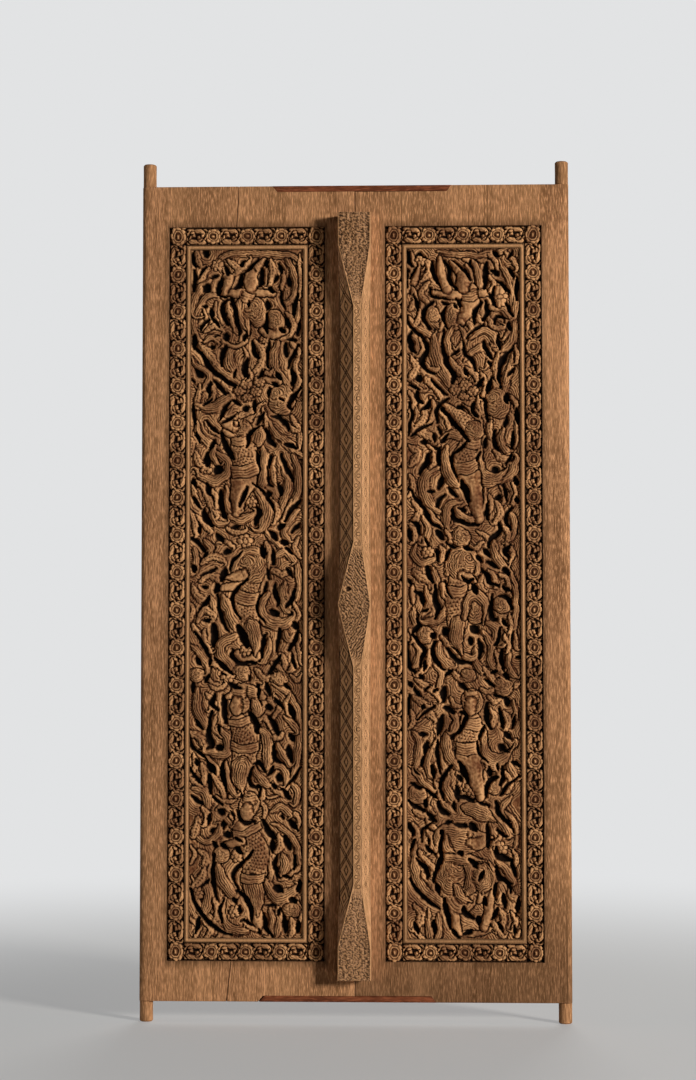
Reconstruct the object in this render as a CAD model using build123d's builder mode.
"""A pair of carved temple door leaves with their closing bar and tie strips.

Millimetres, +Z up. +X runs to the right and +Y runs inwards, away from the carved face.
The origin is where the left leaf's lower pivot pin meets the plank, on the pin's axis.
"""

import os
from math import hypot

from build123d import *

# The two leaves, each one solid plank that ends in its own pivot pins
LEAF_WIDTH = 578.0
LEAF_HEIGHT = 2200.0
LEAF_THICKNESS = 50.0
SEAM_GAP = 3.0
EDGE_ROUND = 16.0
PIN_RADIUS = 18.0
LOWER_PIN_LENGTH = 56.0
UPPER_PIN_LENGTH = 65.0
PIN_CHAMFER = 3.0

# The plain margins around the carved panel
OUTER_STILE = 74.0
INNER_STILE = 80.0
TOP_RAIL = 112.0
BOTTOM_RAIL = 107.0

# The carved border, the plain bead inside it and the field inside the bead
BORDER_SIDE_WIDTH = 47.0
BORDER_END_WIDTH = 49.0
BORDER_DEPTH = 12.0
BEAD_WIDTH = 12.0
BEAD_DEPTH = 2.0
FOLIAGE_DEPTH = 9.0
FIGURE_DEPTH = 1.5
GROUND_DEPTH = 26.0

# Pointed ends of the field's forms, swell of its gaps and the clear margin inside the bead
FORM_TIP_SHARE = 0.6
GAP_SWELL_SHARE = 1.4
FIELD_MARGIN = 2.0

# The border's rosettes and the leaf pairs between them
SIDE_ROSETTES = 18
END_ROSETTES = 3
ROSETTE_RADIUS = 17.0
ROSETTE_SIDES = 6
ROSETTE_HEIGHT = 9.0
LEAFLET_LENGTH = 36.0
LEAFLET_WIDTH = 13.0
LEAFLET_HEIGHT = 7.0
LEAFLET_OFFSET = 9.0
LEAFLET_TILT = 28.0

# The closing bar, fixed to the left leaf and lapping the right one
BAR_TOP_MARGIN = 84.0
BAR_BOTTOM_MARGIN = 65.0
BAR_HALF_WIDTH = 44.0
BAR_WAIST_HALF_WIDTH = 42.0
BAR_HEIGHT = 60.0
BAR_BOSS_SHOULDER = 57.0
BAR_WAIST_SHOULDER = 12.0
BAR_PLATE_HALF_WIDTH = 41.5
BAR_RIDGE_HALF_WIDTH = 10.0
BAR_RIDGE_OFFSET = 8.0
BAR_LAP_CLEARANCE = 0.5
END_BOSS_LENGTH = 87.0
END_TAPER_LENGTH = 166.0
MIDDLE_TAPER_LENGTH = 168.0
MIDDLE_BOSS_SHARE = 0.485

# The pegs that hold the bar to the left leaf, driven from behind
PEG_RADIUS = 6.0
PEG_REACH = 34.0
PEG_INSET = 21.0
PEG_CLEARANCE = 0.1

# The strips let into the top and bottom edges over the seam
TIE_HEIGHT = 16.0
TIE_DEPTH = 14.0
TIE_BEVEL = 13.5
TOP_TIE_LEFT = 224.0
TOP_TIE_RIGHT = 262.0
BOTTOM_TIE_LEFT = 256.0
BOTTOM_TIE_RIGHT = 217.0
TIE_CLEARANCE = 0.5
TIE_END_CLEARANCE = 1.0

# The square nails that hold each strip to the left leaf
NAIL_SIDE = 5.0
NAIL_LENGTH = 45.0
NAIL_CLEARANCE = 0.05
NAIL_PLACE_SHARES = (0.25, 0.75)

# The long drying check in the left leaf's rails
CHECK_WIDTH = 2.2
CHECK_DEPTH = 10.0

# Corners of each carved field in the photograph: top left, top right, bottom left, bottom right
LEFT_FIELD_PX = ((191.5, 251.5), (302.0, 252.0), (187.0, 941.0), (300.5, 941.0))
RIGHT_FIELD_PX = ((408.0, 250.5), (518.5, 250.0), (403.5, 938.5), (521.5, 937.0))

# The left leaf in the photograph, for the check: top left, top right, bottom left, bottom right
LEFT_LEAF_PX = ((143.0, 187.0), (354.5, 185.0), (138.5, 1002.5), (353.5, 1002.5))
TOP_CHECK_PX = ((239.6, 187.0), (238.6, 207.0), (237.4, 228.0))
BOTTOM_CHECK_PX = ((230.6, 962.5), (228.6, 982.0), (226.0, 1002.5))

# Raised forms of the left field: start, middle and end width, then points down the middle
LEFT_FORMS_PX = (
    # archer under the leaf arch
    (11, 16, 13, 250, 276, 250, 291),
    (10, 7, 2, 253, 276, 258, 270, 264, 262),
    (4, 8, 9, 272, 297, 250, 295, 224, 297),
    (5, 8, 9, 223, 298, 226, 289, 229, 280),
    (12, 9, 7, 247, 293, 243, 312, 247, 338),
    (15, 21, 15, 254, 312, 256, 325),
    (14, 17, 12, 273, 320, 277, 334),
    # stems, knot and roundel below the archer
    (6, 7, 6, 199, 346, 212, 366, 238, 387),
    (12, 18, 12, 239, 394, 258, 393),
    (20, 26, 20, 280, 395, 281, 412),
    (4, 13, 9, 228, 404, 214, 412, 198, 413),
    (7, 9, 7, 276, 345, 273, 362, 287, 394),
    # bird-bodied figure
    (4, 18, 14, 221, 429, 238, 430, 243, 438),
    (14, 25, 20, 238, 438, 244, 460, 244, 488),
    (18, 11, 7, 243, 487, 237, 505, 236, 519),
    (8, 11, 5, 215, 456, 226, 466, 222, 482, 200, 479),
    (8, 8, 7, 228, 521, 240, 525, 252, 520),
    (8, 10, 7, 252, 494, 266, 512, 263, 532),
    (7, 9, 6, 281, 475, 286, 492, 277, 520),
    (11, 15, 11, 237, 543, 252, 542),
    # winged figure with the curled tail
    (14, 18, 14, 252, 567, 253, 582),
    (14, 25, 18, 253, 584, 246, 606, 250, 628),
    (15, 11, 9, 251, 628, 256, 645, 254, 660),
    (8, 9, 7, 224, 602, 228, 618, 236, 629),
    (9, 10, 5, 266, 600, 260, 612, 266, 626, 286, 628),
    (8, 9, 8, 255, 660, 244, 664, 234, 657),
    (7, 9, 6, 236, 640, 218, 654, 232, 676),
    # necklaced figure inside the great arc
    (14, 16, 12, 240, 697, 240, 712),
    (16, 26, 20, 238, 716, 244, 745, 241, 770),
    (18, 14, 9, 240, 770, 237, 785, 240, 796),
    (6, 9, 8, 255, 734, 265, 745, 265, 768),
    (6, 9, 6, 214, 731, 224, 748, 208, 760),
    (6, 7, 6, 272, 692, 296, 722, 297, 760, 284, 790),
    # standing figure at the foot
    (13, 16, 12, 247, 807, 247, 821),
    (24, 22, 24, 244, 835, 255, 858, 250, 885),
    (22, 14, 9, 250, 884, 254, 905, 257, 925),
    (9, 9, 7, 221, 856, 222, 878, 228, 896),
    (10, 13, 6, 266, 886, 272, 902, 292, 896),
    (6, 8, 6, 191, 882, 200, 912, 228, 935),
    (6, 7, 6, 271, 827, 292, 842, 298, 868),
)

# Raised forms of the right field, laid out as for the left
RIGHT_FORMS_PX = (
    # archer under the leaf arch
    (11, 16, 12, 463, 276, 463, 290),
    (9, 6, 2, 462, 277, 457, 270, 452, 264),
    (5, 11, 5, 464, 262, 477, 268, 479, 289),
    (13, 16, 10, 470, 294, 470, 306, 462, 322),
    (8, 8, 5, 482, 296, 456, 297, 434, 295),
    (9, 7, 5, 447, 291, 442, 274, 440, 261),
    (14, 19, 14, 452, 315, 456, 326),
    (3, 5, 7, 420, 268, 416, 278, 413, 286),
    (6, 9, 6, 498, 262, 506, 286, 514, 320),
    # stems, knot and roundel below the archer
    (6, 8, 6, 472, 346, 483, 336, 495, 350),
    (12, 17, 12, 456, 393, 471, 392),
    (18, 24, 18, 495, 403, 500, 413),
    (11, 20, 15, 450, 408, 465, 426, 478, 440),
    (7, 12, 6, 433, 346, 436, 372, 448, 391),
    # bird-bodied figure
    (18, 24, 20, 465, 452, 466, 470, 472, 490),
    (18, 11, 8, 472, 489, 476, 508, 475, 520),
    (18, 24, 16, 486, 465, 489, 480),
    (8, 9, 7, 445, 452, 446, 470, 453, 483),
    (8, 8, 7, 478, 521, 466, 521, 457, 515),
    (6, 10, 7, 461, 505, 446, 510, 446, 530),
    (6, 11, 6, 433, 468, 423, 488, 428, 512),
    (12, 17, 12, 458, 535, 462, 545),
    # winged figure with the round haunch
    (14, 18, 14, 455, 566, 456, 580),
    (16, 24, 20, 456, 583, 457, 604, 456, 625),
    (16, 21, 16, 475, 599, 476, 615),
    (14, 11, 8, 457, 625, 457, 645, 461, 657),
    (8, 9, 6, 461, 657, 470, 661, 478, 655),
    (7, 8, 6, 445, 600, 444, 617, 430, 624),
    (6, 7, 6, 503, 572, 514, 592, 514, 625),
    (7, 9, 7, 482, 641, 490, 656, 484, 672),
    # figure with the great round wing
    (13, 16, 12, 469, 700, 471, 715),
    (14, 25, 20, 470, 722, 465, 745, 473, 768),
    (18, 14, 9, 473, 767, 476, 784, 478, 796),
    (18, 26, 17, 489, 742, 492, 756),
    (8, 9, 8, 444, 737, 445, 752, 453, 765),
    # seated figure at the foot
    (11, 17, 12, 463, 808, 478, 813, 494, 822),
    (18, 32, 24, 459, 834, 462, 843, 466, 851),
    (22, 26, 22, 458, 858, 458, 880, 456, 897),
    (12, 9, 9, 451, 897, 452, 915, 455, 930),
    (10, 9, 9, 489, 897, 487, 912, 482, 924),
    (7, 12, 8, 412, 858, 415, 880, 440, 902),
)

# Deep gaps of the left field: width, then points along the gap
LEFT_GAPS_PX = (
    (4.5, 205, 253, 207, 258),
    (4, 278, 266, 281, 275),
    (4, 261.5, 271, 261, 281, 258, 288),
    (4, 194, 272, 195.5, 281, 193, 292),
    (4.5, 241, 277, 239, 286, 235, 290),
    (4, 221, 280, 218.5, 289, 217, 297),
    (6, 206, 288, 207, 293),
    (4, 297, 297, 294, 306, 292, 317),
    (4, 230, 301, 236.5, 322, 239, 336),
    (4, 226, 302, 222, 310, 227, 327),
    (5, 266, 305, 268, 311),
    (4.5, 211, 312, 212, 319),
    (4, 266, 318, 265, 328, 267, 336),
    (5, 285, 321, 287, 328),
    (5, 226, 337, 225, 343),
    (4, 252, 346, 253, 355, 258, 361),
    (4, 226, 349, 222, 357, 220.5, 369),
    (4, 196, 351, 212, 374, 234, 391),
    (4.5, 246, 362, 244, 370, 245, 379),
    (5, 290, 373, 293, 380, 291, 388),
    (5, 196, 374, 201, 380),
    (5, 276, 377, 279, 383),
    (4, 299, 393, 287, 409),
    (4, 229, 405, 223, 414, 220, 424),
    (5, 243, 411, 246, 415),
    (4, 257, 431, 248, 438, 247, 450),
    (4.5, 265, 434, 268, 443, 273, 450),
    (5, 221, 437, 225, 450, 233, 463),
    (5, 207, 457, 206, 470),
    (7, 217, 472, 219, 476),
    (4.5, 206, 489, 209, 499),
    (4.5, 277, 489, 280, 499),
    (4.5, 246, 492, 242, 502, 239, 511),
    (4.5, 220, 496, 220, 507, 224, 522),
    (5, 256, 512, 258, 519, 254, 528),
    (5, 203, 514, 205, 522, 211, 531),
    (5, 269, 537, 274, 544),
    (5, 216, 540, 222, 546),
    (5, 261, 552, 262, 562),
    (6, 224, 575, 221, 585),
    (4, 247, 584, 237, 592, 231.5, 604),
    (4, 273, 590, 274, 600, 277, 609),
    (4, 208, 601, 205, 607, 198, 615),
    (6, 270, 616, 275, 620),
    (5, 292, 628, 296, 633),
    (6, 212, 630, 213, 641, 212, 650),
    (7, 237, 631, 241, 640, 245, 651),
    (4, 264, 640, 261, 650, 261, 662),
    (4, 231, 655, 231, 662, 238, 668),
    (5, 222, 701, 223, 713, 224, 727),
    (4.5, 287, 709, 292, 722),
    (4, 210, 716, 207, 738, 211, 750),
    (5, 248, 718, 254, 727, 255, 738),
    (6, 216, 751, 219, 754),
    (5, 286, 752, 289, 766),
    (4, 222, 767, 221, 779, 225, 795),
    (6, 207, 769, 212, 776),
    (5, 276, 780, 279, 784),
    (5, 261, 825, 267, 836, 274, 842),
    (5, 283, 842, 287, 852),
    (4, 251, 855, 234, 873, 236, 892),
    (4, 213, 858, 211, 874, 215, 904),
    (4, 275, 860, 273, 870, 276, 881),
    (5, 272, 891, 280, 895),
    (4, 189, 893, 206, 925, 228, 938),
    (4.5, 236, 894, 249, 912, 251, 923),
    (4.5, 282, 920, 283, 935),
)

# Deep gaps of the right field, laid out as for the left
RIGHT_GAPS_PX = (
    (4, 445, 262, 450, 272, 450, 283),
    (4, 433, 264, 433, 274, 439, 285),
    (4, 486, 265, 485, 277, 484, 291),
    (4, 491, 272, 497, 276),
    (4, 516, 280, 516, 302),
    (4, 493, 289, 493, 302),
    (4, 484, 303, 487, 313, 483, 325),
    (4, 434, 304, 424, 314, 430, 330),
    (4, 480, 305, 475, 314, 474, 325),
    (4, 408, 318, 412, 330, 428, 346),
    (4, 507, 325, 509, 332),
    (4.5, 426, 342, 427, 353, 423, 360),
    (4, 442, 342, 444, 356, 454, 377),
    (4, 463, 343, 465, 357, 475, 374),
    (4, 483, 344, 486, 353, 491, 361),
    (4, 512, 351, 499, 371, 501, 391),
    (4.5, 421, 366, 425, 371, 434, 375),
    (5, 418, 378, 420, 383),
    (4, 491, 381, 487, 396),
    (4, 418, 393, 417, 400, 422, 406),
    (5, 506, 397, 506, 406),
    (4, 447, 402, 436, 414),
    (4, 472, 406, 473, 415, 477, 419),
    (5, 458, 410, 461, 410),
    (4, 442, 411, 459, 432, 468, 444),
    (4, 494, 434, 494, 444, 497, 454),
    (4, 439, 451, 438, 467),
    (4, 428, 457, 426, 466, 418, 476),
    (6, 494, 471, 495, 475),
    (5, 441, 481, 438, 491),
    (5, 460, 484, 465, 494, 468, 506),
    (4, 408, 491, 423, 511, 439, 531),
    (4, 486, 507, 486, 522),
    (4, 452, 514, 453, 521, 477, 528),
    (4.5, 411, 524, 416, 528, 419, 537),
    (4, 498, 527, 498, 535, 487, 550),
    (5, 436, 534, 442, 542),
    (4, 509, 549, 504, 555, 508, 560),
    (4.5, 426, 570, 428, 579, 432, 585),
    (5, 503, 571, 507, 577),
    (4, 481, 573, 487, 578, 497, 589),
    (4.5, 434, 588, 434, 604, 437, 612),
    (5, 472, 588, 475, 596),
    (4, 414, 594, 420, 598, 422, 606),
    (4, 491, 598, 490, 612, 491, 621),
    (6, 471, 630, 476, 635),
    (5, 442, 632, 445, 637),
    (5, 430, 637, 433, 640),
    (4, 411, 638, 423, 652, 418, 668),
    (4.5, 468, 641, 470, 646),
    (4, 434, 644, 431, 656, 442, 672),
    (4, 446, 651, 451, 658, 458, 664),
    (5, 443, 690, 442, 703),
    (5, 505, 700, 507, 707),
    (4, 485, 706, 485, 718, 489, 730),
    (4, 443, 709, 452, 715),
    (4, 465, 717, 463, 724, 451, 738),
    (4, 440, 718, 435, 737, 436, 755),
    (4.5, 425, 745, 422, 755),
    (5, 499, 747, 501, 752),
    (5, 457, 764, 462, 773, 467, 783),
    (4, 501, 768, 502, 779, 499, 787),
    (6, 455, 789, 456, 800),
    (4, 495, 803, 498, 814, 510, 828),
    (5, 436, 804, 439, 811, 445, 815),
    (4, 486, 826, 487, 848),
    (4.5, 440, 832, 438, 845, 439, 857),
    (4.5, 495, 848, 497, 856, 512, 861),
    (4, 413, 859, 420, 867, 424, 879),
    (5, 468, 859, 475, 867),
    (4, 496, 867, 506, 882, 510, 892),
    (4, 407, 880, 425, 901, 436, 908),
    (4, 442, 898, 444, 911, 448, 927),
    (4, 462, 905, 463, 913, 472, 918),
    (4.5, 411, 923, 414, 932),
)

# Places that follow from the sizes above
LEAF_BOTTOM = 0.0
LEAF_TOP = LEAF_BOTTOM + LEAF_HEIGHT
FRONT_Y = -LEAF_THICKNESS / 2
BACK_Y = LEAF_THICKNESS / 2
LEFT_OUTER_X = -PIN_RADIUS
LEFT_INNER_X = LEFT_OUTER_X + LEAF_WIDTH
RIGHT_INNER_X = LEFT_INNER_X + SEAM_GAP
RIGHT_OUTER_X = RIGHT_INNER_X + LEAF_WIDTH
RIGHT_PIN_X = RIGHT_OUTER_X - PIN_RADIUS
SEAM_X = LEFT_INNER_X + SEAM_GAP / 2
LEAF_MIDDLE_Z = LEAF_BOTTOM + LEAF_HEIGHT / 2

PANEL_WIDTH = LEAF_WIDTH - OUTER_STILE - INNER_STILE
PANEL_HEIGHT = LEAF_HEIGHT - TOP_RAIL - BOTTOM_RAIL
PANEL_BOTTOM = LEAF_BOTTOM + BOTTOM_RAIL
PANEL_MIDDLE_Z = PANEL_BOTTOM + PANEL_HEIGHT / 2
LEFT_PANEL_X = LEFT_OUTER_X + OUTER_STILE + PANEL_WIDTH / 2
RIGHT_PANEL_X = RIGHT_OUTER_X - OUTER_STILE - PANEL_WIDTH / 2
BEAD_OUTER_WIDTH = PANEL_WIDTH - 2 * BORDER_SIDE_WIDTH
BEAD_OUTER_HEIGHT = PANEL_HEIGHT - 2 * BORDER_END_WIDTH
FIELD_WIDTH = BEAD_OUTER_WIDTH - 2 * BEAD_WIDTH
FIELD_HEIGHT = BEAD_OUTER_HEIGHT - 2 * BEAD_WIDTH

BAR_BOTTOM = LEAF_BOTTOM + BAR_BOTTOM_MARGIN
BAR_TOP = LEAF_TOP - BAR_TOP_MARGIN
BAR_MIDDLE_Z = BAR_BOTTOM + (BAR_TOP - BAR_BOTTOM) * MIDDLE_BOSS_SHARE
PEG_X = LEFT_INNER_X - PEG_INSET
PEG_HEIGHTS = (BAR_BOTTOM + END_BOSS_LENGTH / 2, BAR_MIDDLE_Z, BAR_TOP - END_BOSS_LENGTH / 2)

FRONT = Plane.XZ.offset(-FRONT_Y)


def blend(start, end, share):
    """The value that lies a share of the way from start to end."""
    return start + (end - start) * share


def pairs(numbers):
    """A flat row x, y, x, y as a list of points."""
    return list(zip(numbers[0::2], numbers[1::2]))


def from_photo(point, corners, centre, width, height):
    """A photograph point inside four corners, placed on a rectangle of the leaf's face."""
    top_left, top_right, bottom_left, bottom_right = corners
    top = (top_left[1] + top_right[1]) / 2
    bottom = (bottom_left[1] + bottom_right[1]) / 2
    down = (point[1] - top) / (bottom - top)
    left = blend(top_left[0], bottom_left[0], down)
    right = blend(top_right[0], bottom_right[0], down)
    across = (point[0] - left) / (right - left)
    return centre[0] + (across - 0.5) * width, centre[1] + (0.5 - down) * height


def photo_scale(corners, width):
    """Millimetres for each photograph pixel across a rectangle of the leaf's face."""
    top_left, top_right, bottom_left, bottom_right = corners
    return 2 * width / (top_right[0] - top_left[0] + bottom_right[0] - bottom_left[0])


def middle_line(points):
    """The points of a form's middle line, with one more halfway if there are only two."""
    if len(points) > 2:
        return points
    (x0, y0), (x1, y1) = points
    return [points[0], ((x0 + x1) / 2, (y0 + y1) / 2), points[1]]


def field_places(points, corners, centre_x):
    """Photograph points of a carved field, placed on the leaf's face."""
    centre = (centre_x, PANEL_MIDDLE_Z)
    return [from_photo(p, corners, centre, FIELD_WIDTH, FIELD_HEIGHT) for p in points]


def band(line, widths, tip_share):
    """The outline of a band of varying width along a middle line, with pointed ends."""
    left, right = [], []
    last = len(line) - 1
    for i, (x, y) in enumerate(line):
        x0, y0 = line[max(i - 1, 0)]
        x1, y1 = line[min(i + 1, last)]
        run = hypot(x1 - x0, y1 - y0)
        across_x, across_y = -(y1 - y0) / run, (x1 - x0) / run
        half = widths[i] / 2
        left.append((x + across_x * half, y + across_y * half))
        right.append((x - across_x * half, y - across_y * half))
        if i == 0:
            start = (x - across_y * half * tip_share, y + across_x * half * tip_share)
        if i == last:
            end = (x + across_y * half * tip_share, y - across_x * half * tip_share)
    return [start] + left + [end] + right[::-1]


def spindle(line, width):
    """The outline of a band along a middle line that narrows to a point at each end."""
    inner = band(line, [width] * len(line), 0)
    reach = len(line)
    left, right = inner[2:reach], inner[reach + 3:-1]
    return [line[0]] + left + [line[-1]] + right


def form_outlines(rows, corners, centre_x):
    """The outlines of raised forms on a field."""
    scale = photo_scale(corners, FIELD_WIDTH)
    outlines = []
    for row in rows:
        line = middle_line(pairs(row[3:]))
        middle = (len(line) - 1) / 2
        widths = []
        for i in range(len(line)):
            share = i / middle
            end_width = row[0] if share < 1 else row[2]
            widths.append(scale * blend(row[1], end_width, abs(share - 1)))
        places = field_places(line, corners, centre_x)
        outlines.append(band(places, widths, FORM_TIP_SHARE))
    return outlines


def gap_outlines(rows, corners, centre_x):
    """The outlines of the deep gaps between the forms of a field, pointed at both ends."""
    swell = GAP_SWELL_SHARE * photo_scale(corners, FIELD_WIDTH)
    outlines = []
    for row in rows:
        line = field_places(middle_line(pairs(row[1:])), corners, centre_x)
        outlines.append(spindle(line, swell * row[0]))
    return outlines


def face_sketch(outlines, level, clip=None):
    """All outlines joined into one sketch on a plane at a depth below the leaf's face."""
    with BuildSketch(FRONT.offset(-level)) as drawing:
        faces = [Face(Wire.make_polygon([Vector(*p) for p in outline])) for outline in outlines]
        add(faces)
        if clip:
            with Locations(clip[0]):
                Rectangle(*clip[1], mode=Mode.INTERSECT)
    return drawing.sketch


def rectangle_sketch(centre, size, level):
    """A plain rectangle on a plane at a depth below the leaf's face."""
    with BuildSketch(FRONT.offset(-level)) as drawing:
        with Locations(centre):
            Rectangle(*size)
    return drawing.sketch


def border_places(centre_x):
    """Places of the border's rosettes, and of the leaf pairs between them with their headings."""
    side_x = (PANEL_WIDTH - BORDER_SIDE_WIDTH) / 2
    end_z = (PANEL_HEIGHT - BORDER_END_WIDTH) / 2
    side_pitch = 2 * end_z / (SIDE_ROSETTES + 1)
    end_pitch = 2 * side_x / (END_ROSETTES + 1)
    rosettes, leaves = [], []
    for x in (centre_x - side_x, centre_x + side_x):
        bottom = PANEL_MIDDLE_Z - end_z
        rosettes += [(x, bottom + i * side_pitch) for i in range(SIDE_ROSETTES + 2)]
        leaves += [(x, bottom + (i + 0.5) * side_pitch, 90) for i in range(SIDE_ROSETTES + 1)]
    for z in (PANEL_MIDDLE_Z - end_z, PANEL_MIDDLE_Z + end_z):
        left = centre_x - side_x
        rosettes += [(left + i * end_pitch, z) for i in range(1, END_ROSETTES + 1)]
        leaves += [(left + (i + 0.5) * end_pitch, z, 0) for i in range(END_ROSETTES + 1)]
    return rosettes, leaves


def rosette_sketch(places):
    """The border's rosettes on the border's ground."""
    with BuildSketch(FRONT.offset(-BORDER_DEPTH)) as drawing:
        with Locations(*places):
            RegularPolygon(ROSETTE_RADIUS, ROSETTE_SIDES)
    return drawing.sketch


def leaflet_sketch(places):
    """Two opposed leaves in each space between rosettes, on the border's ground."""
    spots = []
    for x, z, heading in places:
        middle = Location((x, z, 0), (0, 0, heading))
        spots.append(middle * Location((0, LEAFLET_OFFSET, 0), (0, 0, LEAFLET_TILT)))
        spots.append(middle * Location((0, -LEAFLET_OFFSET, 0), (0, 0, LEAFLET_TILT)))
    half_length, half_width = LEAFLET_LENGTH / 2, LEAFLET_WIDTH / 2
    with BuildSketch(FRONT.offset(-BORDER_DEPTH)) as drawing:
        with Locations(*spots):
            Polygon((-half_length, 0), (0, -half_width), (half_length, 0), (0, half_width))
    return drawing.sketch


def build_plank(outer_x, inner_x, pin_x):
    """One leaf's plank with its pivot pins, before carving."""
    with BuildSketch(Plane.XY.offset(LEAF_BOTTOM)) as section:
        with Locations(((outer_x + inner_x) / 2, 0)):
            Rectangle(LEAF_WIDTH, LEAF_THICKNESS)
        outer_corners = section.vertices().sort_by_distance((outer_x, 0, LEAF_BOTTOM))[:2]
        fillet(outer_corners, EDGE_ROUND)
    extrude(section.sketch, amount=LEAF_HEIGHT)
    for level, length in ((LEAF_BOTTOM, -LOWER_PIN_LENGTH), (LEAF_TOP, UPPER_PIN_LENGTH)):
        with BuildSketch(Plane.XY.offset(level)) as pin_section:
            with Locations((pin_x, 0)):
                Circle(PIN_RADIUS)
        extrude(pin_section.sketch, amount=length)


def carve_panel(centre_x, forms, gaps, corners):
    """Carve a leaf's panel: the border, the bead and the field's figures and foliage."""
    centre = (centre_x, PANEL_MIDDLE_Z)
    clip = (centre, (FIELD_WIDTH - 2 * FIELD_MARGIN, FIELD_HEIGHT - 2 * FIELD_MARGIN))
    pocket = rectangle_sketch(centre, (PANEL_WIDTH, PANEL_HEIGHT), 0)
    extrude(pocket, amount=-BORDER_DEPTH, mode=Mode.SUBTRACT)
    bead = rectangle_sketch(centre, (BEAD_OUTER_WIDTH, BEAD_OUTER_HEIGHT), BORDER_DEPTH)
    extrude(bead, amount=BORDER_DEPTH - BEAD_DEPTH)
    foliage = rectangle_sketch(centre, (FIELD_WIDTH, FIELD_HEIGHT), BEAD_DEPTH)
    extrude(foliage, amount=BEAD_DEPTH - FOLIAGE_DEPTH, mode=Mode.SUBTRACT)
    raised = face_sketch(form_outlines(forms, corners, centre_x), FOLIAGE_DEPTH, clip)
    extrude(raised, amount=FOLIAGE_DEPTH - FIGURE_DEPTH)
    deep = face_sketch(gap_outlines(gaps, corners, centre_x), FIGURE_DEPTH, clip)
    extrude(deep, amount=FIGURE_DEPTH - GROUND_DEPTH, mode=Mode.SUBTRACT)
    rosettes, leaves = border_places(centre_x)
    extrude(leaflet_sketch(leaves), amount=LEAFLET_HEIGHT)
    extrude(rosette_sketch(rosettes), amount=ROSETTE_HEIGHT)


def tie_outline(left, right, edge_z, inward, end_gap=0, side_gap=0):
    """The outline of a tie strip or its notch, long edge along the leaf's end."""
    deep_z = edge_z + inward * (TIE_HEIGHT + side_gap)
    return [
        (SEAM_X - left - end_gap, edge_z),
        (SEAM_X + right + end_gap, edge_z),
        (SEAM_X + right + end_gap - TIE_BEVEL, deep_z),
        (SEAM_X - left - end_gap + TIE_BEVEL, deep_z),
    ]


def check_sketch(line):
    """The outline of a drying check in the left leaf's face."""
    centre = (LEFT_OUTER_X + LEAF_WIDTH / 2, LEAF_MIDDLE_Z)
    places = [from_photo(p, LEFT_LEAF_PX, centre, LEAF_WIDTH, LEAF_HEIGHT) for p in line]
    return face_sketch([band(places, [CHECK_WIDTH] * len(places), FORM_TIP_SHARE)], 0)


def nail_spots(left, edge_z, turn):
    """Places of a strip's nails, in its part on the left leaf."""
    start, end = SEAM_X - left + TIE_BEVEL, LEFT_INNER_X
    y = FRONT_Y + TIE_DEPTH / 2
    return [
        Location((blend(start, end, share), y, edge_z), (turn, 0, 0))
        for share in NAIL_PLACE_SHARES
    ]


def nail_shape(gap, mode):
    """A square nail that hangs from its place, or its hole when given a gap."""
    side = NAIL_SIDE + 2 * gap
    Box(side, side, NAIL_LENGTH, align=(Align.CENTER, Align.CENTER, Align.MAX), mode=mode)


TOP_REACH = (TOP_TIE_LEFT, TOP_TIE_RIGHT, LEAF_TOP, -1)
BOTTOM_REACH = (BOTTOM_TIE_LEFT, BOTTOM_TIE_RIGHT, LEAF_BOTTOM, 1)
TOP_TIE = tie_outline(*TOP_REACH)
BOTTOM_TIE = tie_outline(*BOTTOM_REACH)
TOP_NOTCH = tie_outline(*TOP_REACH, TIE_END_CLEARANCE, TIE_CLEARANCE)
BOTTOM_NOTCH = tie_outline(*BOTTOM_REACH, TIE_END_CLEARANCE, TIE_CLEARANCE)
TOP_NAILS = nail_spots(TOP_TIE_LEFT, LEAF_TOP, 0)
BOTTOM_NAILS = nail_spots(BOTTOM_TIE_LEFT, LEAF_BOTTOM, 180)
PEG_PLACES = [(PEG_X, z) for z in PEG_HEIGHTS]
BACK = Plane.XZ.offset(-BACK_Y)
PEG_LENGTH = LEAF_THICKNESS + PEG_REACH

with BuildPart() as left_leaf:
    build_plank(LEFT_OUTER_X, LEFT_INNER_X, 0)
    chamfer(left_leaf.faces().sort_by(Axis.Z)[0].edges(), PIN_CHAMFER)
    chamfer(left_leaf.faces().sort_by(Axis.Z)[-1].edges(), PIN_CHAMFER)
    carve_panel(LEFT_PANEL_X, LEFT_FORMS_PX, LEFT_GAPS_PX, LEFT_FIELD_PX)
    for outline in (TOP_TIE, BOTTOM_TIE):
        extrude(face_sketch([outline], 0), amount=-TIE_DEPTH, mode=Mode.SUBTRACT)
    for line in (TOP_CHECK_PX, BOTTOM_CHECK_PX):
        extrude(check_sketch(line), amount=-CHECK_DEPTH, mode=Mode.SUBTRACT)
    with Locations(*TOP_NAILS, *BOTTOM_NAILS):
        nail_shape(NAIL_CLEARANCE, Mode.SUBTRACT)
    with BuildSketch(BACK) as peg_holes:
        with Locations(*PEG_PLACES):
            Circle(PEG_RADIUS + PEG_CLEARANCE)
    extrude(amount=LEAF_THICKNESS, mode=Mode.SUBTRACT)

with BuildPart() as right_leaf:
    build_plank(RIGHT_OUTER_X, RIGHT_INNER_X, RIGHT_PIN_X)
    chamfer(right_leaf.faces().sort_by(Axis.Z)[0].edges(), PIN_CHAMFER)
    chamfer(right_leaf.faces().sort_by(Axis.Z)[-1].edges(), PIN_CHAMFER)
    carve_panel(RIGHT_PANEL_X, RIGHT_FORMS_PX, RIGHT_GAPS_PX, RIGHT_FIELD_PX)
    for outline in (TOP_NOTCH, BOTTOM_NOTCH):
        extrude(face_sketch([outline], 0), amount=-TIE_DEPTH - TIE_CLEARANCE, mode=Mode.SUBTRACT)

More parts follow.
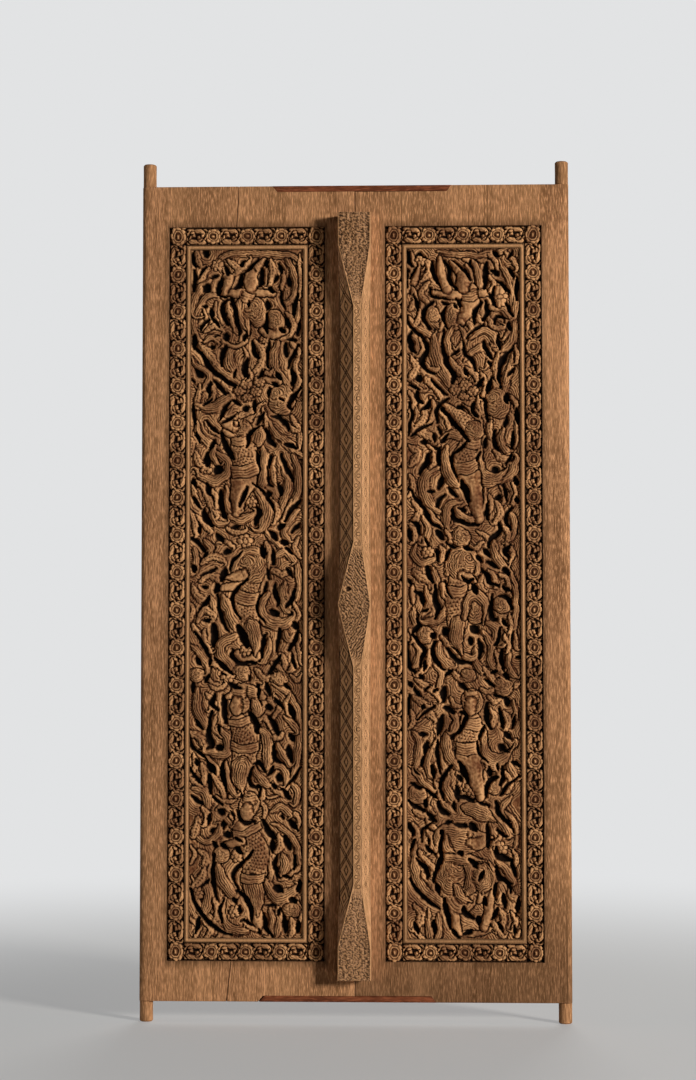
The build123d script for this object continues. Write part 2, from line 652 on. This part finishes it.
BOSS = (BAR_HALF_WIDTH, BAR_BOSS_SHOULDER, SEAM_X, BAR_PLATE_HALF_WIDTH)
WAIST = (BAR_WAIST_HALF_WIDTH, BAR_WAIST_SHOULDER, SEAM_X + BAR_RIDGE_OFFSET, BAR_RIDGE_HALF_WIDTH)
BAR_STATIONS = (
    (BAR_BOTTOM, BOSS),
    (BAR_BOTTOM + END_BOSS_LENGTH, BOSS),
    (BAR_BOTTOM + END_BOSS_LENGTH + END_TAPER_LENGTH, WAIST),
    (BAR_MIDDLE_Z - MIDDLE_TAPER_LENGTH, WAIST),
    (BAR_MIDDLE_Z, BOSS),
    (BAR_MIDDLE_Z + MIDDLE_TAPER_LENGTH, WAIST),
    (BAR_TOP - END_BOSS_LENGTH - END_TAPER_LENGTH, WAIST),
    (BAR_TOP - END_BOSS_LENGTH, BOSS),
    (BAR_TOP, BOSS),
)

with BuildPart() as closing_bar:
    for z, (half_width, shoulder, front_x, front_half_width) in BAR_STATIONS:
        with BuildSketch(Plane.XY.offset(z)):
            with BuildLine():
                Polyline(
                    (SEAM_X - half_width, FRONT_Y),
                    (SEAM_X - half_width, FRONT_Y - shoulder),
                    (front_x - front_half_width, FRONT_Y - BAR_HEIGHT),
                    (front_x + front_half_width, FRONT_Y - BAR_HEIGHT),
                    (SEAM_X + half_width, FRONT_Y - shoulder),
                    (SEAM_X + half_width, FRONT_Y),
                    close=True,
                )
            make_face()
    loft(ruled=True)
    with BuildSketch(FRONT) as lap:
        with Locations((SEAM_X + BAR_HALF_WIDTH, (BAR_BOTTOM + BAR_TOP) / 2)):
            Rectangle(2 * BAR_HALF_WIDTH, BAR_TOP - BAR_BOTTOM)
    extrude(amount=BAR_LAP_CLEARANCE, mode=Mode.SUBTRACT)
    with BuildSketch(FRONT) as peg_sockets:
        with Locations(*PEG_PLACES):
            Circle(PEG_RADIUS + PEG_CLEARANCE)
    extrude(amount=PEG_REACH, mode=Mode.SUBTRACT)

with BuildPart() as closing_bar_pegs:
    with BuildSketch(BACK):
        with Locations(*PEG_PLACES):
            Circle(PEG_RADIUS)
    extrude(amount=PEG_LENGTH)

with BuildPart() as top_tie_strip:
    with BuildSketch(FRONT):
        Polygon(*TOP_TIE)
    extrude(amount=-TIE_DEPTH)
    with Locations(*TOP_NAILS):
        nail_shape(NAIL_CLEARANCE, Mode.SUBTRACT)

with BuildPart() as bottom_tie_strip:
    with BuildSketch(FRONT):
        Polygon(*BOTTOM_TIE)
    extrude(amount=-TIE_DEPTH)
    with Locations(*BOTTOM_NAILS):
        nail_shape(NAIL_CLEARANCE, Mode.SUBTRACT)

with BuildPart() as tie_strip_nails:
    with Locations(*TOP_NAILS, *BOTTOM_NAILS):
        nail_shape(0, Mode.ADD)

os.makedirs("parts", exist_ok=True)
PIECES = {
    "left_leaf": left_leaf,
    "right_leaf": right_leaf,
    "closing_bar": closing_bar,
    "closing_bar_pegs": closing_bar_pegs,
    "top_tie_strip": top_tie_strip,
    "bottom_tie_strip": bottom_tie_strip,
    "tie_strip_nails": tie_strip_nails,
}
for name, piece in PIECES.items():
    piece.part.label = name
    export_step(piece.part, f"parts/{name}.step")
